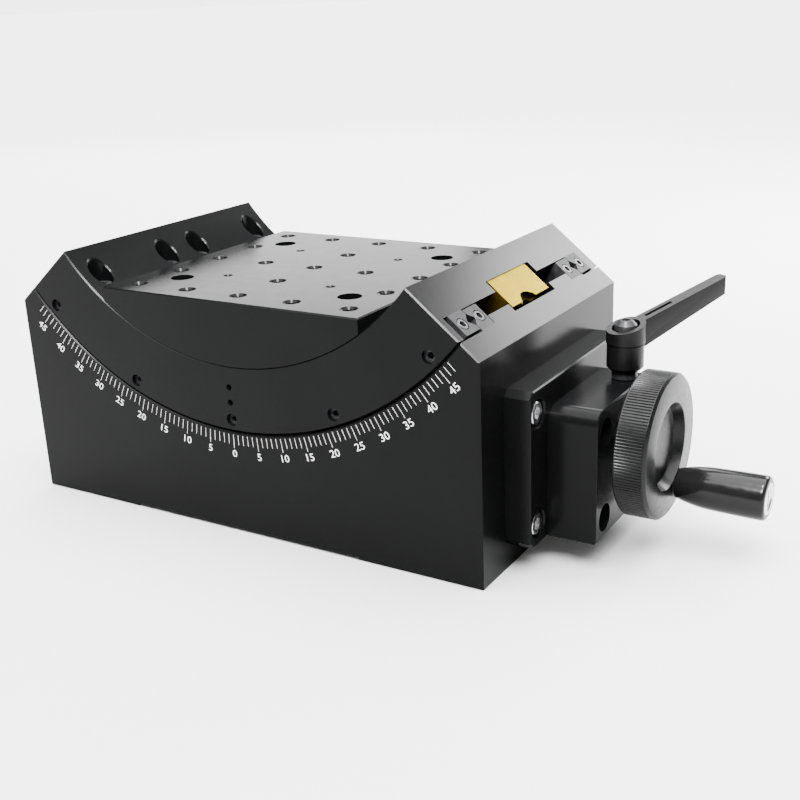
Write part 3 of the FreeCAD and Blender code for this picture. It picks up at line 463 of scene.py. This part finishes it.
def smooth_by_angle(piece, degrees):
    """Smooth shading, with edges sharper than the angle kept."""
    mesh = piece.data
    mesh.polygons.foreach_set("use_smooth", [True] * len(mesh.polygons))
    mesh.set_sharp_from_angle(angle=math.radians(degrees))


def on_scale(radius, degrees, proud):
    """Frame of a mark: X along the arc, Y towards the tilt axis, Z out of the face."""
    a = math.radians(degrees)
    along = Vector((math.cos(a), 0.0, math.sin(a)))
    inward = Vector((-math.sin(a), 0.0, math.cos(a)))
    out = Vector((0.0, -1.0, 0.0))
    place = Vector((0.0, FRONT_FACE - proud, TILT_HEIGHT)) - inward * radius
    turn = Matrix((along, inward, out)).transposed().to_4x4()
    return Matrix.Translation(place) @ turn


def thread_ring(mesh_builder, spot, root, crest, pitch, start):
    """Ridges of a thread inside a hole, from a start depth down."""
    outline = [(root, -start)]
    for turn in range(THREAD_TURNS):
        outline.append((crest, -start - (turn + 0.4) * pitch))
        outline.append((crest, -start - (turn + 0.6) * pitch))
        outline.append((root - 0.01 * MM, -start - (turn + 1.0) * pitch))
    outline.append((root, -start - THREAD_TURNS * pitch))
    verts = [mesh_builder.verts.new(spot + Vector((r, 0.0, z))) for r, z in outline]
    edges = [mesh_builder.edges.new(pair) for pair in zip(verts, verts[1:] + verts[:1])]
    bmesh.ops.spin(
        mesh_builder, geom=verts + edges, cent=spot, axis=(0.0, 0.0, 1.0), dvec=(0.0, 0.0, 0.0),
        angle=math.tau, steps=24, use_merge=True, use_duplicate=False)


def merged_copy(node):
    """Copy of a carried-over mesh with its doubled points merged."""
    copy = bmesh.new()
    copy.from_mesh(frame["nodes"][node].data)
    bmesh.ops.remove_doubles(copy, verts=copy.verts, dist=MERGE)
    return copy


class ANGLESTAGE_OT_finishes(bpy.types.Operator):
    """Give every carried-over part its finish"""

    bl_idname = "angle_stage.finishes"
    bl_label = "Finish the parts"

    def execute(self, context):
        for name, nodes in FINISHES.items():
            for node in nodes:
                dress(frame["nodes"][node], name)
        return {"FINISHED"}


class ANGLESTAGE_OT_scale(bpy.types.Operator):
    """Engrave the angle scale on the front of the base"""

    bl_idname = "angle_stage.scale"
    bl_label = "Engrave the scale"

    def execute(self, context):
        settings = context.scene.stage_scale
        proud = 0.02 * MM
        depth = 0.10 * MM
        em_per_height = 1.38
        marks = bmesh.new()
        for degrees in range(-settings.last_tick, settings.last_tick + 1):
            length = settings.short_tick if degrees % 5 else settings.long_tick
            place = on_scale(settings.tick_radius + length / 2, degrees, proud - depth / 2)
            size = Matrix.Diagonal((settings.tick_width, length, depth, 1.0))
            bmesh.ops.create_cube(marks, size=1.0, matrix=place @ size)
        ticks = new_piece("scale_ticks", marks, "white_infill")
        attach(ticks, "base_body")
        numerals = bmesh.new()
        for degrees in range(-45, 50, 5):
            curve = bpy.data.curves.new("numeral", "FONT")
            curve.body = str(abs(degrees))
            curve.align_x = "CENTER"
            curve.align_y = "CENTER"
            curve.size = settings.numeral_height * em_per_height
            curve.offset = settings.numeral_weight
            curve.extrude = depth / 2
            curve.resolution_u = 4
            letter = bpy.data.objects.new("numeral", curve)
            mesh = bpy.data.meshes.new_from_object(letter)
            wide = Matrix.Diagonal((settings.numeral_stretch, 1.0, 1.0, 1.0))
            mesh.transform(on_scale(settings.numeral_radius, degrees, proud - depth / 2) @ wide)
            numerals.from_mesh(mesh)
            bpy.data.objects.remove(letter)
            bpy.data.curves.remove(curve)
            bpy.data.meshes.remove(mesh)
        bmesh.ops.remove_doubles(numerals, verts=numerals.verts, dist=0.002 * MM)
        bmesh.ops.recalc_face_normals(numerals, faces=numerals.faces)
        numbers = new_piece("scale_numerals", numerals, "white_infill")
        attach(numbers, "base_body")
        return {"FINISHED"}


class ANGLESTAGE_OT_handwheel(bpy.types.Operator):
    """Turn the dished handwheel and knurl its rim"""

    bl_idname = "angle_stage.handwheel"
    bl_label = "Make the handwheel"

    def execute(self, context):
        settings = context.scene.stage_handwheel
        rim = (WHEEL_HIGH.z - WHEEL_LOW.z) / 2
        centre = (WHEEL_LOW + WHEEL_HIGH) / 2
        face = WHEEL_HIGH.x
        hub_end = WHEEL_LOW.x
        back = face - 12.0 * MM
        dish_floor = face - 4.0 * MM
        bore_end = 146.0 * MM
        bore_r = 4.0 * MM
        hub_r = 9.0 * MM
        hub_corner = 0.5 * MM
        web_back = back + 4.5 * MM
        rim_inside = rim - 5.5 * MM
        back_corner = 0.5 * MM
        back_band = back + 0.7 * MM
        ramp = 0.35 * MM
        plain = settings.plain_band
        chamfer = settings.rim_chamfer
        soften = 0.1 * MM
        fluted = (back_band + ramp, face - plain - ramp)
        outline = [
            (bore_end, 0.0), (bore_end, bore_r), (hub_end, bore_r), (hub_end, hub_r - hub_corner),
            (hub_end + hub_corner, hub_r), (web_back, hub_r), (web_back, rim_inside),
            (back, rim_inside), (back, rim - back_corner), (back + back_corner, rim),
            (back_band, rim), (fluted[0], rim), (fluted[1], rim), (face - plain, rim),
            (face - chamfer, rim), (face - soften, rim - chamfer + soften),
            (face, rim - chamfer - soften),
            (face, 16.4 * MM), (face - 0.15 * MM, 16.2 * MM), (dish_floor + 1.2 * MM, 15.0 * MM),
            (dish_floor + 0.35 * MM, 14.4 * MM), (dish_floor, 13.4 * MM), (dish_floor, 0.0),
        ]
        wheel = bmesh.new()
        verts = [wheel.verts.new((x, centre.y, centre.z + r)) for x, r in outline]
        edges = [wheel.edges.new(pair) for pair in zip(verts, verts[1:])]
        steps = STEPS_PER_FLUTE * settings.flutes
        bmesh.ops.spin(
            wheel, geom=verts + edges, cent=centre, axis=(1.0, 0.0, 0.0), dvec=(0.0, 0.0, 0.0),
            angle=math.tau, steps=steps, use_merge=True, use_duplicate=False)
        bmesh.ops.remove_doubles(wheel, verts=wheel.verts, dist=MERGE)
        grooves = []
        for vert in wheel.verts:
            offset = vert.co - centre
            turn = math.atan2(offset.y, offset.z) / math.tau * steps
            in_groove = round(turn) % STEPS_PER_FLUTE == 0
            if in_groove and any(abs(vert.co.x - x) < 0.01 * MM for x in fluted):
                grooves.append(vert)
        shrink = 1.0 - settings.flute_depth / rim
        to_centre = Matrix.Translation(-Vector((0.0, centre.y, centre.z)))
        bmesh.ops.scale(wheel, vec=(1.0, shrink, shrink), space=to_centre, verts=grooves)
        bmesh.ops.recalc_face_normals(wheel, faces=wheel.faces)
        piece = new_piece("handwheel_knurled", wheel, "turned_anodise")
        smooth_by_angle(piece, 28.0)
        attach(piece, "drive_body")
        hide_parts("handwheel")
        return {"FINISHED"}


class ANGLESTAGE_OT_threads(bpy.types.Operator):
    """Cut threads in the tapped holes of the table"""

    bl_idname = "angle_stage.threads"
    bl_label = "Thread the table"

    def execute(self, context):
        settings = context.scene.stage_threads
        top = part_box("table")[1].z
        threads = bmesh.new()
        middle = settings.holes // 2
        for row in range(-middle, middle + 1):
            for column in range(-middle, middle + 1):
                spot = Vector((row * settings.hole_pitch, column * settings.hole_pitch, top))
                small = abs(row) == 1 and abs(column) == 1
                thread_ring(threads, spot, *(SMALL_THREAD if small else BIG_THREAD))
        bmesh.ops.remove_doubles(threads, verts=threads.verts, dist=MERGE)
        bmesh.ops.recalc_face_normals(threads, faces=threads.faces)
        piece = new_piece("table_threads", threads, "black_anodise")
        smooth_by_angle(piece, 40.0)
        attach(piece, "cradle_body")
        return {"FINISHED"}


class ANGLESTAGE_OT_lever(bpy.types.Operator):
    """Round the edges of the cast clamping lever and smooth-shade a copy of its spring"""

    bl_idname = "angle_stage.lever"
    bl_label = "Make the lever"

    def execute(self, context):
        settings = context.scene.stage_lever
        lever = merged_copy("lever_arm")
        bmesh.ops.dissolve_limit(
            lever, angle_limit=math.radians(1.0), verts=lever.verts, edges=lever.edges)
        piece = new_piece("lever_arm_cast", lever, "powder_coat")
        smooth_by_angle(piece, 30.0)
        bevel = piece.modifiers.new("edges", "BEVEL")
        bevel.width = settings.edge_round
        bevel.segments = 3
        bevel.limit_method = "ANGLE"
        bevel.angle_limit = math.radians(40.0)
        bevel.harden_normals = True
        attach(piece, "lever_body")
        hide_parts("lever_arm")
        coil = merged_copy("lever_spring")
        bmesh.ops.recalc_face_normals(coil, faces=coil.faces)
        spring = new_piece("lever_spring_coil", coil, "zinc_steel")
        smooth_by_angle(spring, 40.0)
        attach(spring, "clamp_screw_body")
        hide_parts("lever_spring")
        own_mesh(spring)
        return {"FINISHED"}


def area_light(name, place, target, size, power):
    """Softbox that faces a point."""
    light = bpy.data.lights.new(name, "AREA")
    light.shape = "RECTANGLE"
    light.size = size[0]
    light.size_y = size[1]
    light.energy = power
    lamp = bpy.data.objects.new(name, light)
    way = Vector(target) - Vector(place)
    turn = way.to_track_quat("-Z", "Y").to_matrix().to_4x4()
    lamp.matrix_world = Matrix.Translation(Vector(place)) @ turn
    bpy.context.scene.collection.objects.link(lamp)
    return lamp


def make_floor(settings):
    """Pale floor just under the base."""
    floor = bmesh.new()
    bmesh.ops.create_grid(floor, x_segments=1, y_segments=1, size=40.0)
    bmesh.ops.translate(floor, verts=floor.verts, vec=(0.0, 0.0, cad_box[0][2] - 0.1 * MM))
    mesh = bpy.data.meshes.new("studio_floor")
    floor.to_mesh(mesh)
    floor.free()
    ground = bpy.data.objects.new("studio_floor", mesh)
    bpy.context.scene.collection.objects.link(ground)
    paper, shader = node_material("floor_paper", settings.floor_color, 0.0, 0.9)
    ground.data.materials.append(paper)


def make_world(settings):
    """Backdrop that is bright at the horizon and darker above it."""
    world = bpy.data.worlds.new("studio")
    world.use_nodes = True
    nodes = world.node_tree.nodes
    links = world.node_tree.links
    sky = nodes["Background"]
    sky.inputs["Color"].default_value = (1.0, 1.0, 1.0, 1.0)
    way = nodes.new("ShaderNodeTexCoord")
    parts = nodes.new("ShaderNodeSeparateXYZ")
    fade = nodes.new("ShaderNodeMapRange")
    fade.interpolation_type = "SMOOTHSTEP"
    fade.inputs["From Min"].default_value = 0.03
    fade.inputs["From Max"].default_value = 0.16
    fade.inputs["To Min"].default_value = settings.horizon_glow
    fade.inputs["To Max"].default_value = settings.sky_glow
    links.new(way.outputs["Generated"], parts.inputs["Vector"])
    links.new(parts.outputs["Z"], fade.inputs["Value"])
    links.new(fade.outputs["Result"], sky.inputs["Strength"])
    bpy.context.scene.world = world


def make_lights(settings):
    """Soft light from above, boxes for the faces to mirror, and lights for the edges."""
    scene = bpy.context.scene
    overhead = bpy.data.lights.new("overhead", "SUN")
    overhead.energy = settings.overhead_power
    overhead.angle = 1.4
    scene.collection.objects.link(bpy.data.objects.new("overhead", overhead))
    for name, (place, size, power) in SOFTBOXES.items():
        area_light(name, place, STAGE_MIDDLE, size, power)
    pieces = bpy.data.collections.new("stage_pieces")
    for piece in scene.objects:
        if piece.type == "MESH" and piece.name not in NOT_KEYED:
            pieces.objects.link(piece)
    for place in KEY_PLACES:
        key = area_light("edge_light", place, STAGE_MIDDLE, KEY_SIZE, settings.key_power)
        key.light_linking.receiver_collection = pieces
    area_light("floor_box", (0.26, 0.62, 0.34), (0.25, 0.46, 0.0), (0.26, 0.26), 5.0)


def make_camera(settings):
    """Camera at the photograph's angle."""
    azimuth = settings.camera_azimuth
    elevation = settings.camera_elevation
    back = Vector((
        math.sin(azimuth) * math.cos(elevation), -math.cos(azimuth) * math.cos(elevation),
        math.sin(elevation)))
    right = Vector((math.cos(azimuth), math.sin(azimuth), 0.0))
    turn = Matrix((right, back.cross(right), back)).transposed().to_4x4()
    camera = bpy.data.cameras.new("camera")
    camera.sensor_fit = "HORIZONTAL"
    camera.sensor_width = 36.0
    camera.lens = settings.lens
    camera.clip_start = 0.01
    camera.clip_end = 50.0
    viewer = bpy.data.objects.new("camera", camera)
    roll = Matrix.Rotation(settings.camera_roll, 4, "Z")
    viewer.matrix_world = Matrix.Translation(settings.camera_place) @ turn @ roll
    bpy.context.scene.collection.objects.link(viewer)
    bpy.context.scene.camera = viewer


class ANGLESTAGE_OT_studio(bpy.types.Operator):
    """Set the pale floor, the soft lights and the camera"""

    bl_idname = "angle_stage.studio"
    bl_label = "Set up the studio"

    def execute(self, context):
        settings = context.scene.stage_studio
        make_floor(settings)
        make_world(settings)
        make_lights(settings)
        make_camera(settings)
        return {"FINISHED"}


class ANGLESTAGE_PT_panel(bpy.types.Panel):
    """Lists the pieces that the stage is dressed with"""

    bl_idname = "ANGLESTAGE_PT_panel"
    bl_label = "Angle Stage"
    bl_space_type = "VIEW_3D"
    bl_region_type = "UI"
    bl_category = "Angle Stage"

    def draw(self, context):
        for operator in OPERATORS:
            self.layout.operator(operator.bl_idname)


SETTINGS = {
    "stage_finish": FinishSettings,
    "stage_scale": ScaleSettings,
    "stage_handwheel": HandwheelSettings,
    "stage_threads": ThreadSettings,
    "stage_lever": LeverSettings,
    "stage_studio": StudioSettings,
}
OPERATORS = [
    ANGLESTAGE_OT_finishes,
    ANGLESTAGE_OT_scale,
    ANGLESTAGE_OT_handwheel,
    ANGLESTAGE_OT_threads,
    ANGLESTAGE_OT_lever,
    ANGLESTAGE_OT_studio,
]


def register():
    for name, group in SETTINGS.items():
        bpy.utils.register_class(group)
        setattr(bpy.types.Scene, name, PointerProperty(type=group))
    for operator in OPERATORS:
        bpy.utils.register_class(operator)
    bpy.utils.register_class(ANGLESTAGE_PT_panel)


def unregister():
    bpy.utils.unregister_class(ANGLESTAGE_PT_panel)
    for operator in reversed(OPERATORS):
        bpy.utils.unregister_class(operator)
    for name, group in SETTINGS.items():
        delattr(bpy.types.Scene, name)
        bpy.utils.unregister_class(group)


def main():
    register()
    bpy.ops.angle_stage.finishes()
    bpy.ops.angle_stage.scale()
    bpy.ops.angle_stage.handwheel()
    bpy.ops.angle_stage.threads()
    bpy.ops.angle_stage.lever()
    bpy.ops.angle_stage.studio()


if __name__ == "__main__":
    main()
